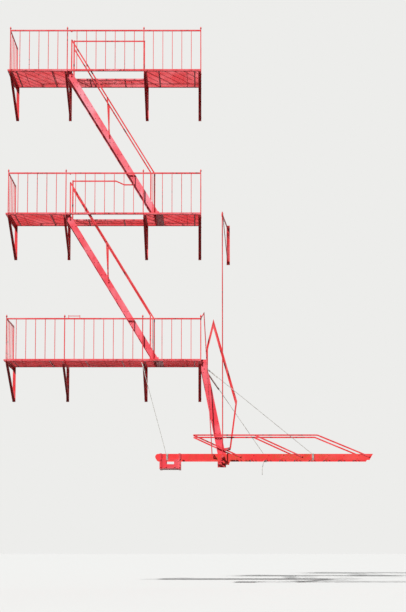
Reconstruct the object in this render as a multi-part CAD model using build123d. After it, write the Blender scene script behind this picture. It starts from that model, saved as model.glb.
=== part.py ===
from build123d import *
import os
from math import atan, atan2, cos, degrees, pi, radians, sin, tan

os.makedirs("parts", exist_ok=True)

# A wall-hung fire escape with three platforms, two open flights, a steep flight and a swing stair.
# X runs along the wall, the wall face is y = 0 and the stair stands at negative y, Z is up.
# The origin is where the swing stair's pivot axis meets the wall face of its bearing plate.

# Platforms, set out by the spacing of their balusters
bay = 203.2
left_bays = 6
well_bays = 8
right_bays = 6
depth_bays = 5
storey_rise = 3100
lower_floor = 2035
pivot_to_platform = 440
wall_gap = 12
walkway = 464

# Platform floor and its rim
rim_wall = 5
rim_leg = 40
rim_out = 45
floor_bar = 24
floor_bar_thick = 6
floor_pitch = 32
cross_bar = 5
cross_bar_wide = 30
cross_bars = 6
cross_bar_inset = 140
foot_bearer_wide = 150
bearer_from_foot = 80

# Railings
rail_height = 865
post = 20
finial_height = 70
finial_radius = 17
neck_radius = 7
tip_radius = 4
finial_sides = 8
top_rail_deep = 30
bottom_rail_deep = 6
rail_thick = 16
baluster = 13
guard_height = 848
guard_dent = 80
knob_spread = 233
knob_from_post = 83
knob_height = 60
knob_thick = 12
guard_bar_thick = 8

# Brackets under the platforms
chord = 63
angle_wall = 8
strut_wide = 50
strut_drop = 750
strut_inset = 60
bolt_radius = 9
bolt_from_end = 60

# Open flights
flight_run = 1890
risers = 12
stringer_deep = 120
stringer_thick = 10
well_clear = 8
foot_cleat = 50
cleat_wall = 6
tread_deep = 125
tread_edge = 25
tread_bar = 20
tread_bar_thick = 6
tread_bars = 3
tread_plate = 5

# Handrails of the flights
handrail_rise = 805
handrail_deep = 28
handrail_thick = 8
newel_wide = 28
newel_from_well = 90
near_newel_height = 660
near_newel_from_foot = 27
far_newel_from_foot = 127
middle_post_from_foot = 1035
near_post_lean = 50

# Steep flight from the lowest platform to the pivot
steep_top = 140
steep_knee_drop = 220
steep_deep = 150
steep_risers = 8
steep_tread_deep = 130
steep_rail_out = 130
steep_rail_belly = 293
steep_rail_high = 795
steep_rail_start = 275
steep_rail_belly_height = 1155
steep_rail_foot = 190
steep_rail_foot_out = 165
steep_rail_lap = 100

# Pivot shaft, its bearing and what hangs it
shaft_radius = 22.5
shaft_end = 25
fit_gap = 0.1
seat_gap = 0.3
bearing_plate = 12
bearing_wide = 180
bearing_tall = 320
bearing_bolts = 240
bearing_reach = 80
boss_radius = 42
rib_thick = 12
collar_radius = 36
collar_long = 20
hanger_out = 1170
hanger_radius = 11
hanger_eye = 42
hanger_eye_thick = 20
gallows_height = 5053
gallows_skew = 145
gallows_drop = 750
gallows_bar = 50
gallows_thick = 10
gallows_tip = 140
gallows_plate_wide = 70
gallows_plate_margin = 60
gallows_bolt_aside = 14

# Swing stair
beam_deep = 126
beam_thick = 10
beam_out = 36
arm_long = 1390
stair_long = 3105
swing_pitch = 310
swing_treads = 9
lowered_degrees = 60
swing_tread_deep = 130
hub_gap = 8
stop_plate_left = 10
stop_plate_wide = 140
stop_plate_deep = 68
swing_rail = 30
swing_rail_thick = 10
swing_rail_height = 450
swing_rail_left = 603
swing_rail_knee = 1960
swing_rail_tip = 3045
swing_rail_bend = 120
swing_foot_left = 380
swing_brace_top = 668

# Counterweight and its cradle
cradle_from_end = 90
cradle_long = 437
cradle_deep = 175
cradle_top_lap = 18
cradle_plate = 8
cradle_strap = 45
window_wide = 161
window_deep = 88
block_count = 3
block_gap = 1

# Rest rod that holds the counterweight arm level
rest_radius = 10
rest_out = 44
rest_pin_drop = 20
rest_hook_right = 67
rest_hook_rise = 110
rest_foot_wide = 60
rest_foot_thick = 12
rest_stud_left = 175
rest_stud_rise = 40
rest_stud_end = 6

# Wire stays
wire_radius = 6
wire_strands = 6
clamp_wide = 30
stay_below_rail = 100
near_stay_reach = 1840
far_stay_reach = 893
stay_offset = 28
arm_stay_from_end = 222

# Places that follow from the sizes above
x_right = -pivot_to_platform
x_well_right = x_right - right_bays * bay
x_well_left = x_well_right - well_bays * bay
x_left = x_well_left - left_bays * bay
x_rim_left = x_left - rim_out
y_back = -wall_gap
y_front = y_back - depth_bays * bay
y_well = y_back - walkway - rim_wall
floors = {
    "lower": lower_floor,
    "middle": lower_floor + storey_rise,
    "upper": lower_floor + 2 * storey_rise,
}
rim_deep = floor_bar + cross_bar + rim_wall

# Planes of the flights, from the front to the wall
near_rail_front = y_front + rim_leg + well_clear
near_rail_back = near_rail_front + handrail_thick
near_stringer_back = near_rail_back + stringer_thick
far_rail_back = y_well - well_clear
far_rail_front = far_rail_back - handrail_thick
far_stringer_front = far_rail_front - stringer_thick
x_foot = x_well_left + flight_run
slope = atan2(storey_rise, flight_run)
half_level = stringer_deep / 2 / sin(slope)
riser = storey_rise / risers
going = flight_run / risers
near_beam_back = near_rail_front - beam_out
near_beam_front = near_beam_back - beam_thick
far_beam_front = far_rail_back + beam_out
far_beam_back = far_beam_front + beam_thick
near_swing_rail_front = near_beam_front - swing_rail_thick
far_swing_rail_back = far_beam_back + swing_rail_thick
near_rest_front = near_swing_rail_front - rest_out - rest_radius
cradle_left = arm_long - cradle_from_end
cradle_right = cradle_left - cradle_long
stay_height = lower_floor - steep_rail_lap - stay_below_rail
stair_end_cut = beam_deep / tan(radians(lowered_degrees))


def outline(*points):
    """A flat face inside a closed run of straight edges."""
    return make_face(Polyline(*points, close=True))


def facing_front(shape, y, thick):
    """A sketch in x and z made a plate from its front face at y towards the wall."""
    front = Plane(origin=(0, y, 0), x_dir=(1, 0, 0), z_dir=(0, -1, 0))
    return extrude(front * shape, -thick)


def facing_right(shape, x, thick):
    """A sketch in y and z made a plate from x towards the right."""
    side = Plane(origin=(x, 0, 0), x_dir=(0, 1, 0), z_dir=(1, 0, 0))
    return extrude(side * shape, thick)


def lying(shape, z, thick):
    """A sketch in x and y made a plate from z upwards."""
    return extrude(Plane.XY.offset(z) * shape, thick)


def area(low_x, low_y, high_x, high_y):
    """A rectangle between two corners."""
    return Pos((low_x + high_x) / 2, (low_y + high_y) / 2) * Rectangle(high_x - low_x, high_y - low_y)


def between(section, start, end, level=(1, 0, 0)):
    """A rolled section cut to the length between two points, its x side along level."""
    run = Vector(*end) - Vector(*start)
    return extrude(Plane(origin=start, x_dir=level, z_dir=run) * section, run.length)


def ring(outer, inner, z, thick):
    """A level frame between two rectangles."""
    return lying(outer - inner, z, thick)


# Platform frames
def frame_bars():
    """The x places of the flat cross bars that the floor bars lie on."""
    first = x_left + cross_bar_inset
    pitch = (x_right - cross_bar_inset - first) / (cross_bars - 1)
    places = [first + pitch * index for index in range(cross_bars)]
    over_well = [x for x in places if x_well_left < x < x_well_right]
    return [x for x in places if x not in over_well], over_well


def platform_frame(level, has_well, has_foot):
    """An angle rim with cross bars, and an angle trimmer round the stairwell."""
    base = level - rim_deep
    plan = area(x_rim_left, y_front, x_right, y_back)
    inside = area(x_rim_left + rim_wall, y_front + rim_wall, x_right - rim_wall, y_back - rim_wall)
    leg_inside = area(x_rim_left + rim_leg, y_front + rim_leg, x_right - rim_leg, y_back - rim_leg)
    frame = ring(plan, inside, base, rim_deep) + ring(plan, leg_inside, base, rim_wall)
    full, over_well = frame_bars()
    half = cross_bar_wide / 2
    seat = base + rim_wall
    for x in full:
        frame += lying(area(x - half, y_front + rim_wall, x + half, y_back - rim_wall), seat, cross_bar)
    for x in over_well:
        start = y_well if has_well else y_front
        frame += lying(area(x - half, start + rim_wall, x + half, y_back - rim_wall), seat, cross_bar)
    if has_foot:
        half = foot_bearer_wide / 2
        middle = x_foot + bearer_from_foot
        bearer = area(middle - half, y_front + rim_wall, middle + half, y_back - rim_wall)
        frame += lying(bearer, seat, cross_bar)
    if has_well:
        left, right = x_well_left, x_well_right
        edge = area(left - rim_wall, y_front + rim_wall, right + rim_wall, y_well + rim_wall)
        well = area(left, y_front + rim_wall, right, y_well)
        frame += ring(edge, well, base, rim_deep)
        lip = area(left - rim_leg, y_front + rim_wall, right + rim_leg, y_well + rim_leg)
        frame += ring(lip, well, base, rim_wall)
    return frame


def bar_places(start, end):
    """Even places of the floor bars between two angles."""
    count = round((end - start) / floor_pitch)
    step = (end - start) / count
    return [start + step * (index + 0.5) for index in range(count)]


def floor_bars(level, has_well):
    """Bars on edge along the wall, cut short at the stairwell."""
    z = level - floor_bar / 2
    section = Rectangle(floor_bar_thick, floor_bar)
    whole = (x_rim_left + rim_wall, x_right - rim_wall)
    sides = [(whole[0], x_well_left - rim_wall), (x_well_right + rim_wall, whole[1])]
    rear = bar_places(y_well + rim_wall, y_back - rim_wall)
    front = bar_places(y_front + rim_wall, y_well)
    runs = [(whole, y) for y in rear]
    runs += [(span, y) for y in front for span in (sides if has_well else [whole])]
    return [between(section, (a, y, z), (b, y, z), level=(0, 1, 0)) for (a, b), y in runs]


# Brackets
def bracket(level, x, side, has_holes):
    """An angle chord and strut on a wall leg with two bolts; side is where the angles' legs point."""
    top = level - rim_deep
    foot = top - strut_drop
    chord_web = facing_right(area(y_front, top - chord, -angle_wall, top), x, side * angle_wall)
    chord_top = facing_right(area(y_front, top - angle_wall, -angle_wall, top), x, side * chord)
    wall_leg = facing_right(area(-angle_wall, foot, 0, top), x, side * chord)
    toe = y_front + strut_inset
    strut_line = outline(
        (toe, top - chord),
        (-angle_wall, foot + strut_wide),
        (-angle_wall, foot),
        (toe - strut_wide, top - chord),
    )
    strut_web = facing_right(strut_line, x, side * angle_wall)
    strut_leg = outline(
        (toe, top - chord),
        (-angle_wall, foot + strut_wide),
        (-angle_wall, foot + strut_wide - 2 * angle_wall),
        (toe - 2 * angle_wall, top - chord),
    )
    strut_flange = facing_right(strut_leg, x, side * strut_wide)
    body = chord_web + chord_top + wall_leg + strut_web + strut_flange
    for z in bolt_heights(level) if has_holes else []:
        centre = x + side * (chord + angle_wall) / 2
        body -= between(Circle(bolt_radius), (centre, 0, z), (centre, -angle_wall, z))
    return body


def bolt_heights(level):
    """The heights of the two bolts of a bracket's wall leg."""
    top = level - rim_deep
    return (top - chord - bolt_from_end / 2, top - strut_drop + strut_wide + bolt_from_end / 2)


def brackets(level, is_anchored):
    """Four brackets; where anchored, the two at the platform's ends have their bolt holes cut."""
    ends = [bracket(level, x, side, is_anchored) for x, side in ((x_left, 1), (x_right, -1))]
    return ends + [bracket(level, x, side, False) for x, side in ((x_well_left, -1), (x_well_right, 1))]


# Railings
def finial(x, y, z):
    """A small faceted knob that swells above a neck, on a square post."""
    half = finial_height / 2
    flat = cos(pi / finial_sides)
    swell = degrees(atan((finial_radius - neck_radius) * flat / half))
    narrowing = degrees(atan((finial_radius - tip_radius) * flat / half))
    lower = extrude(RegularPolygon(neck_radius, finial_sides), half, taper=-swell)
    upper = extrude(Plane.XY.offset(half) * RegularPolygon(finial_radius, finial_sides), half, taper=narrowing)
    return Pos(x, y, z) * (lower + upper)


def square_post(x, y, level, height):
    """A square post that stands on the rim."""
    return lying(Pos(x, y) * Rectangle(post, post), level, height)


def panel(along, across, start, end, level, places):
    """Two flat rails with square balusters between them; along is True where it runs along the wall."""
    top = level + rail_height
    posts = [lying(Pos(*((p, across) if along else (across, p))) * Rectangle(baluster, baluster),
                   level + bottom_rail_deep, rail_height - top_rail_deep - bottom_rail_deep)
             for p in places]
    half = rail_thick / 2
    ends = (start, across - half, end, across + half)
    flat = area(*ends) if along else area(across - half, start, across + half, end)
    body = lying(flat, level, bottom_rail_deep) + lying(flat, top - top_rail_deep, top_rail_deep)
    return body + posts


def front_railing(level, has_knobs):
    """Four posts with knobs, flat rails and balusters, the whole length of the platform."""
    y = y_front + post / 2
    half = post / 2
    corners = [x_left + half, x_well_left, x_well_right, x_right - half]
    body = Part()
    bays = (left_bays, well_bays, right_bays)
    for start, end, count in zip(corners, corners[1:], bays):
        inner = [start + (end - start) * step / count for step in range(1, count)]
        body += panel(True, y, start + half, end - half, level, inner)
    for x in corners:
        body += square_post(x, y, level, rail_height) + finial(x, y, level + rail_height)
    if has_knobs:
        left = x_well_left + knob_from_post
        top = level + rail_height
        for x in (left, left + knob_spread):
            body += lying(Pos(x, y) * Rectangle(knob_thick, rail_thick), top, knob_height)
        joining = area(left, y - rail_thick / 2, left + knob_spread, y + rail_thick / 2)
        body += lying(joining, top + knob_height - 2 * knob_thick, knob_thick)
    return body


def end_railing(level, x, start):
    """A panel from the front, or from the stairwell line, back to a post by the wall."""
    half = post / 2
    back = y_back - half
    whole = (y_front + half, back)
    places = [whole[0] + bay * step for step in range(1, depth_bays)]
    first = start
    body = square_post(x, back, level, rail_height)
    if start > y_front + post:
        body += square_post(x, start + half, level, rail_height)
        first = start + post
    inner = [y for y in places if first + half < y < back - post]
    return body + panel(False, x, first, back - half, level, inner)


def stairwell_guard(level, is_bent):
    """A bar on posts along the stairwell's inner edge; the bent one has lost its right post."""
    top = level + guard_height
    left = x_well_left + newel_from_well
    front = y_well
    posts = [left] if is_bent else [left, x_well_right - newel_wide / 2]
    body = Part()
    for x in posts:
        standing = area(x - newel_wide / 2, level, x + newel_wide / 2, top)
        body += facing_front(standing, front, guard_bar_thick)
    if not is_bent:
        bar = area(left, top - handrail_deep, x_well_right, top)
        return body + facing_front(bar, front, guard_bar_thick)
    kink = x_well_left + 5 * bay
    low = kink + bay - handrail_deep
    end = low + bay
    line = outline(
        (left, top),
        (kink, top),
        (low, top - guard_dent),
        (end, top - guard_dent),
        (end, top - guard_dent - handrail_deep),
        (low, top - guard_dent - handrail_deep),
        (kink, top - handrail_deep),
        (left, top - handrail_deep),
    )
    return body + facing_front(line, front, guard_bar_thick)


# Open flights
def stringer_line(level):
    """A sloping bar, cut level at the landing and plumb at the end of the stairwell."""
    plumb = (x_foot - half_level - x_well_left) / flight_run * storey_rise
    return outline(
        (x_foot - half_level, level),
        (x_foot + half_level, level),
        (x_well_left + half_level, level + storey_rise),
        (x_well_left, level + storey_rise),
        (x_well_left, level + plumb),
    )


def flight_stringers(level):
    """Two flat stringers with angle cleats at their feet, each bearing on two floor bars."""
    line = stringer_line(level)
    near = facing_front(line, near_rail_back, stringer_thick)
    far = facing_front(line, far_stringer_front, stringer_thick)
    low = area(x_foot - half_level, level, x_foot + half_level, level + foot_cleat)
    near += facing_front(low, near_stringer_back, cleat_wall)
    far += facing_front(low, far_stringer_front - cleat_wall, cleat_wall)
    ends = (x_foot - half_level, x_foot + half_level)
    near_lip = area(ends[0], near_stringer_back, ends[1], near_stringer_back + foot_cleat)
    far_lip = area(ends[0], far_stringer_front - foot_cleat, ends[1], far_stringer_front)
    near += lying(near_lip, level, cleat_wall)
    far += lying(far_lip, level, cleat_wall)
    return [near, far]


def open_tread(deep, start, end):
    """Bars on edge between two end plates, its top at z = 0 and its middle at x = 0."""
    half = deep / 2
    body = Part()
    for y in (start, end - tread_plate):
        body += facing_front(area(-half, -tread_edge, half, 0), y, tread_plate)
    step = (deep - tread_bar_thick) / (tread_bars - 1)
    for index in range(tread_bars):
        x = -half + tread_bar_thick / 2 + step * index
        bar = Rectangle(tread_bar_thick, tread_bar)
        z = -tread_bar / 2
        body += between(bar, (x, start + tread_plate, z), (x, end - tread_plate, z))
    return body


def flight_treads(level):
    """The treads between the stringers, one at each riser but the last."""
    tread = open_tread(tread_deep, near_stringer_back, far_stringer_front)
    first = x_foot + tread_edge / 2 / tan(slope)
    return [Pos(first - going * step, 0, level + riser * step) * tread for step in range(1, risers)]


def rail_z(x, level):
    """The middle of a flight's sloping handrail at x."""
    return level + (x_foot - x) / flight_run * storey_rise + handrail_rise


def flight_rail(level, y, top_height, newel_from_foot, post_lean):
    """A sloping flat handrail with a foot newel, a middle post that may lean and a top newel."""
    half = newel_wide / 2
    top_x = x_well_left + newel_from_well
    foot_x = x_foot - newel_from_foot
    middle_x = x_foot - middle_post_from_foot
    lean = handrail_deep / 2 / cos(slope)
    sloping = outline(
        (top_x, rail_z(top_x, level) - lean),
        (foot_x, rail_z(foot_x, level) - lean),
        (foot_x, rail_z(foot_x, level) + lean),
        (top_x, rail_z(top_x, level) + lean),
    )
    body = facing_front(sloping, y, handrail_thick)
    foot = area(foot_x - half, level, foot_x + half, rail_z(foot_x, level))
    middle_foot = middle_x + post_lean
    middle = outline(
        (middle_x - half, rail_z(middle_x, level)),
        (middle_x + half, rail_z(middle_x, level)),
        (middle_foot + half, rail_z(middle_foot, level) - handrail_rise),
        (middle_foot - half, rail_z(middle_foot, level) - handrail_rise),
    )
    top_floor = level + storey_rise
    low = rail_z(top_x, level) - handrail_rise
    newel = area(top_x - half, low, top_x + half, top_floor + top_height)
    for line in (foot, middle, newel):
        body += facing_front(line, y, handrail_thick)
    return body


def flight_handrails(level):
    """The near and far handrails of an open flight."""
    near = flight_rail(level, near_rail_front, near_newel_height, near_newel_from_foot, near_post_lean)
    far = flight_rail(level, far_rail_front, guard_height, far_newel_from_foot, 0)
    return [near, far]


# Steep flight
steep_knee = lower_floor - steep_knee_drop
steep_knee_x = x_right + steep_top / 2
steep_angle = atan2(steep_knee, -steep_knee_x)
steep_half = steep_deep / 2 / sin(steep_angle)


def steep_middle(z):
    """The x of the steep stringer's middle at a height below its knee."""
    return steep_knee_x * z / steep_knee


def steep_stringer(y):
    """A flat bar from the platform's end to the pivot, with a plumb head and a round eye at its foot."""
    line = outline(
        (-steep_half, 0),
        (steep_half, 0),
        (x_right + steep_top, steep_knee),
        (x_right + steep_top, lower_floor),
        (x_right, lower_floor),
        (x_right, steep_knee),
    )
    line += Circle(steep_half)
    line -= Circle(shaft_radius + fit_gap / 2)
    return facing_front(line, y, stringer_thick)


def steep_stringers():
    """The near and far stringers of the steep flight."""
    return [steep_stringer(near_rail_back), steep_stringer(far_stringer_front)]


def steep_treads():
    """Open treads between the steep stringers."""
    tread = open_tread(steep_tread_deep, near_stringer_back, far_stringer_front)
    rise = lower_floor / steep_risers
    places = [(steep_middle(min(rise * step, steep_knee)), rise * step) for step in range(1, steep_risers)]
    return [Pos(x, 0, z) * tread for x, z in places]


def bar_along(line, wide, y, thick):
    """A flat bar that follows a line in x and z."""
    return facing_front(trace(line, wide), y, thick)


def steep_handrail(y):
    """A bent bar from the platform's end, out over the steps and back to the stringer's foot."""
    start_x = x_right + steep_top - handrail_deep / 2
    line = Polyline(
        (start_x, lower_floor - steep_rail_lap),
        (start_x, lower_floor + steep_rail_start),
        (start_x + steep_rail_out, lower_floor + steep_rail_high),
        (steep_rail_belly, steep_rail_belly_height),
        (steep_rail_foot_out, steep_rail_foot),
        (0, steep_rail_foot - handrail_deep),
    )
    return bar_along(line, handrail_deep, y, handrail_thick)


def steep_handrails():
    """The near and far handrails of the steep flight."""
    return [steep_handrail(near_rail_front), steep_handrail(far_rail_front)]


# Pivot shaft and what carries it
def pivot_shaft():
    """A turned shaft with collars outside both beams, from the bearing plate to the hanger rod."""
    outer_end = hanger_out + shaft_end
    near_collar = -near_swing_rail_front + hub_gap
    far_collar = -far_swing_rail_back - hub_gap
    profile = outline(
        (0, bearing_plate),
        (shaft_radius, bearing_plate),
        (shaft_radius, far_collar - collar_long),
        (collar_radius, far_collar - collar_long),
        (collar_radius, far_collar),
        (shaft_radius, far_collar),
        (shaft_radius, near_collar),
        (collar_radius, near_collar),
        (collar_radius, near_collar + collar_long),
        (shaft_radius, near_collar + collar_long),
        (shaft_radius, outer_end),
        (0, outer_end),
    )
    lying_down = Plane(origin=(0, 0, 0), x_dir=(1, 0, 0), z_dir=(0, 0, 1))
    flipped = mirror(lying_down * profile, Plane.XZ)
    return revolve(flipped, Axis.Y)


def pivot_wall_bracket():
    """A bolted wall plate with a boss for the shaft and two ribs."""
    half = bearing_wide / 2
    tall = bearing_tall / 2
    back = area(-half, -tall, half, tall)
    for z in (-bearing_bolts / 2, bearing_bolts / 2):
        back -= Pos(0, z) * Circle(bolt_radius)
    body = facing_front(back, -bearing_plate, bearing_plate)
    boss = Circle(boss_radius) - Circle(shaft_radius + fit_gap / 2)
    reach = bearing_reach
    body += facing_front(boss, -bearing_plate - reach, reach)
    seat = (boss_radius + shaft_radius) / 2
    for side in (-1, 1):
        rib = outline(
            (-bearing_plate, side * seat),
            (-bearing_plate - reach, side * seat),
            (-bearing_plate, side * (bearing_bolts / 2 - 2 * bolt_radius)),
        )
        body += facing_right(rib, -rib_thick / 2, rib_thick)
    return body


def gallows_bracket():
    """A skewed arm and strut on a wall plate, from which the rod hangs."""
    level = gallows_height
    low = level - gallows_drop
    half = gallows_plate_wide / 2
    margin = gallows_plate_margin
    plate = area(gallows_skew - half, low - margin, gallows_skew + half, level + margin)
    for z in (low, level):
        plate -= Pos(gallows_skew + gallows_bolt_aside, z) * Circle(bolt_radius)
    body = facing_front(plate, -bearing_plate, bearing_plate)
    section = Rectangle(gallows_thick, gallows_bar)
    root = (gallows_skew - gallows_bolt_aside, -bearing_plate, level)
    tip = (0, -hanger_out - gallows_bar / 2, level)
    skew = Vector(*tip) - Vector(*root)
    across = Vector(0, 0, 1).cross(skew).normalized()
    arm = between(section, root, tip, level=across)
    low_root = (root[0], root[1], low)
    near_tip = Vector(*tip) - skew.normalized() * gallows_tip
    strut = between(section, low_root, near_tip, level=across)
    return body + arm + strut


def hanger_rod():
    """A straight rod with an eye round the shaft's outer end."""
    top = gallows_height - gallows_bar / 2
    foot = hanger_eye - hanger_radius
    rod = lying(Pos(0, -hanger_out) * Circle(hanger_radius), foot, top - foot)
    eye = Circle(hanger_eye) - Circle(shaft_radius + fit_gap / 2)
    return rod + facing_front(eye, -hanger_out - hanger_eye_thick / 2, hanger_eye_thick)


# Swing stair
def beam_line():
    """A deep flat bar through the pivot, its left end round and its right end cut to stand on the ground."""
    half = beam_deep / 2
    line = outline(
        (half - arm_long, -half),
        (stair_long - stair_end_cut, -half),
        (stair_long, half),
        (half - arm_long, half),
    )
    line += Pos(half - arm_long, 0) * Circle(half)
    stop = area(stop_plate_left, -half - stop_plate_deep, stop_plate_left + stop_plate_wide, -half)
    return line + stop - Circle(shaft_radius + fit_gap)


def swing_beam(y, hub_y):
    """A beam with a hub on its inner face that keeps it off the steep flight."""
    hub = Circle(boss_radius) - Circle(shaft_radius + fit_gap)
    hub_long = beam_out - hub_gap
    return facing_front(beam_line(), y, beam_thick) + facing_front(hub, hub_y, hub_long)


def rest_stud():
    """The stud on the near beam by which the rest rod's foot holds the arm."""
    outer = near_rest_front - rest_stud_end
    place = Pos(-rest_stud_left, rest_stud_rise) * Circle(rest_radius)
    return facing_front(place, outer, near_beam_front - outer)


def swing_tread_set():
    """Open treads set level for the lowered stair."""
    tread = open_tread(swing_tread_deep, near_beam_back, far_beam_front)
    middle = Pos(0, 0, tread_edge / 2) * tread
    turned = Rot(0, -lowered_degrees, 0) * middle
    return [Pos(swing_pitch * step, 0, 0) * turned for step in range(1, swing_treads + 1)]


def swing_handrail(y):
    """A top rail that bends down to the beam's end, on two sloping braces."""
    height = swing_rail_height
    top = FilletPolyline(
        (-swing_rail_left, height),
        (swing_rail_knee, height),
        (swing_rail_tip, 0),
        radius=swing_rail_bend,
    )
    brace_shift = swing_foot_left + swing_rail_left
    first = Line((-swing_rail_left, height), (-swing_rail_left + brace_shift, 0))
    second = Line((swing_brace_top, height), (swing_brace_top + brace_shift, 0))
    body = Part()
    for line in (top, first, second):
        body += bar_along(line, swing_rail, y, swing_rail_thick)
    return body


def counterweight_cradle():
    """Two windowed side plates in stirrup straps that pass under the castings."""
    low = -cradle_deep - beam_deep / 2
    top = low + cradle_deep + cradle_top_lap
    side = area(-cradle_left, low, -cradle_right, top)
    window_mid = -(cradle_left + cradle_right) / 2
    window_top = -beam_deep / 2
    window_left = window_mid - window_wide / 2
    side -= area(window_left, window_top - window_deep, window_left + window_wide, window_top)
    near = facing_front(side, near_beam_front - cradle_plate, cradle_plate)
    far = facing_front(side, far_beam_back, cradle_plate)
    front = near_beam_front - 2 * cradle_plate
    back = far_beam_back + 2 * cradle_plate
    body = near + far
    for x in (-cradle_left, -cradle_right - cradle_strap):
        body += lying(area(x, front, x + cradle_strap, back), low - cradle_plate, cradle_plate)
        leg = area(x, low, x + cradle_strap, top)
        body += facing_front(leg, front, cradle_plate) + facing_front(leg, back - cradle_plate, cradle_plate)
    return body


def counterweight_blocks():
    """Cast blocks side by side under the arms, between the cradle's plates."""
    low = -cradle_deep - beam_deep / 2
    top = -beam_deep / 2 - window_deep
    front = near_beam_front
    wide = (far_beam_back - near_beam_front - block_gap * (block_count - 1)) / block_count
    section = area(-cradle_left, low, -cradle_right, top)
    return [facing_front(section, front + (wide + block_gap) * index, wide) for index in range(block_count)]


# Rest rod
def arm_rest_rod():
    """A rod hooked to the platform's corner post, with a foot that the counterweight arm's stud rests on."""
    centre = near_rest_front + rest_radius
    seat = rest_stud_rise - rest_radius - seat_gap
    pin_z = lower_floor + rail_height - rest_pin_drop
    pin_x = x_right - post / 2
    foot_left = rest_radius - rest_stud_left - rest_foot_wide
    path = Polyline(
        (pin_x, y_front, pin_z),
        (pin_x, centre, pin_z),
        (pin_x + rest_hook_right, centre, pin_z + rest_hook_rise),
        (foot_left + rest_radius, centre, seat - rest_foot_thick),
    )
    start = Plane(origin=path @ 0, z_dir=path % 0)
    rod = sweep(start * Circle(rest_radius), path=path, transition=Transition.RIGHT)
    foot = area(foot_left, near_rest_front, foot_left + rest_foot_wide, near_rest_front + 2 * rest_radius)
    return rod + lying(foot, seat - rest_foot_thick, rest_foot_thick)


# Wire stays
def clamp(x, y_start, y_end, z_start, z_end):
    """A flat clamp block."""
    half = clamp_wide / 2
    return lying(area(x - half, y_start, x + half, y_end), z_start, z_end - z_start)


def wire_section():
    """A wire rope's section, with a flat for each of its strands."""
    return RegularPolygon(wire_radius, wire_strands)


def stair_stay(y_start, y_lug, y_top, reach, y_beam):
    """A wire from a lug on the steep stringer down to a clamp on a swing beam."""
    x = x_right + steep_top - clamp_wide / 2
    beam_top = beam_deep / 2 + seat_gap
    lug = clamp(x, y_start, y_lug, stay_height - clamp_wide / 2, stay_height + clamp_wide / 2)
    end = (reach, y_beam, beam_top + clamp_wide / 2)
    wire = between(wire_section(), (x, y_top, stay_height), end, level=(0, 1, 0))
    grip = clamp(reach, y_beam - wire_radius, y_beam + wire_radius, beam_top, beam_top + clamp_wide)
    return lug + wire + grip


def near_stay_cable():
    """The stay on the near side."""
    top = near_rail_back - stay_offset
    return stair_stay(top - wire_radius, near_rail_back, top, near_stay_reach, near_beam_back)


def far_stay_cable():
    """The stay on the far side."""
    top = far_rail_front + stay_offset
    return stair_stay(far_rail_front, top + wire_radius, top, far_stay_reach, far_beam_front)


def arm_stay_cable():
    """The stay from a bracket under the lowest platform to the counterweight arm."""
    low = lower_floor - rim_deep - chord
    y = near_beam_back
    x = x_well_right - clamp_wide / 2
    upper = clamp(x, y - wire_radius, y + clamp_wide, low, low + clamp_wide)
    beam_top = beam_deep / 2 + seat_gap
    start = (x, y, low + clamp_wide / 2)
    low_x = arm_stay_from_end - arm_long
    end = (low_x, y, beam_top + clamp_wide / 2)
    wire = between(wire_section(), start, end, level=(0, 1, 0))
    return upper + wire + clamp(low_x, y - wire_radius, y + wire_radius, beam_top, beam_top + clamp_wide)


def build_parts():
    """Every sub-part by its name."""
    parts = {}
    for name, level in floors.items():
        is_lower = name == "lower"
        parts[name + "_platform_frame"] = platform_frame(level, not is_lower, name != "upper")
        parts[name + "_floor_bars"] = floor_bars(level, not is_lower)
        parts[name + "_brackets"] = brackets(level, name != "middle")
        parts[name + "_front_railing"] = front_railing(level, is_lower)
        half = post / 2
        inner_front = y_front + post
        parts[name + "_left_railing"] = end_railing(level, x_left + half, inner_front)
        right_start = y_well if is_lower else inner_front
        parts[name + "_right_railing"] = end_railing(level, x_right - half, right_start)
    for name, below in (("upper", "middle"), ("middle", "lower")):
        level = floors[below]
        parts[name + "_stairwell_guard"] = stairwell_guard(floors[name], name == "middle")
        parts[name + "_flight_stringers"] = flight_stringers(level)
        parts[name + "_flight_treads"] = flight_treads(level)
        parts[name + "_flight_handrails"] = flight_handrails(level)
    parts["lower_flight_stringers"] = steep_stringers()
    parts["lower_flight_treads"] = steep_treads()
    parts["lower_flight_handrails"] = steep_handrails()
    parts["pivot_shaft"] = pivot_shaft()
    parts["pivot_wall_bracket"] = pivot_wall_bracket()
    parts["gallows_bracket"] = gallows_bracket()
    parts["hanger_rod"] = hanger_rod()
    parts["arm_rest_rod"] = arm_rest_rod()
    parts["arm_stay_cable"] = arm_stay_cable()
    parts["near_stay_cable"] = near_stay_cable()
    parts["far_stay_cable"] = far_stay_cable()
    parts["swing_near_beam"] = swing_beam(near_beam_front, near_beam_back) + rest_stud()
    parts["swing_far_beam"] = swing_beam(far_beam_front, far_rail_back + hub_gap)
    parts["swing_treads"] = swing_tread_set()
    parts["swing_near_handrail"] = swing_handrail(near_swing_rail_front)
    parts["swing_far_handrail"] = swing_handrail(far_beam_back)
    parts["counterweight_cradle"] = counterweight_cradle()
    parts["counterweight_blocks"] = counterweight_blocks()
    return parts


for part_name, solid in build_parts().items():
    shape = Compound(children=solid) if isinstance(solid, list) else solid
    export_step(shape, "parts/" + part_name + ".step")
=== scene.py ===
from math import cos, pi, radians, sin

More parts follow.
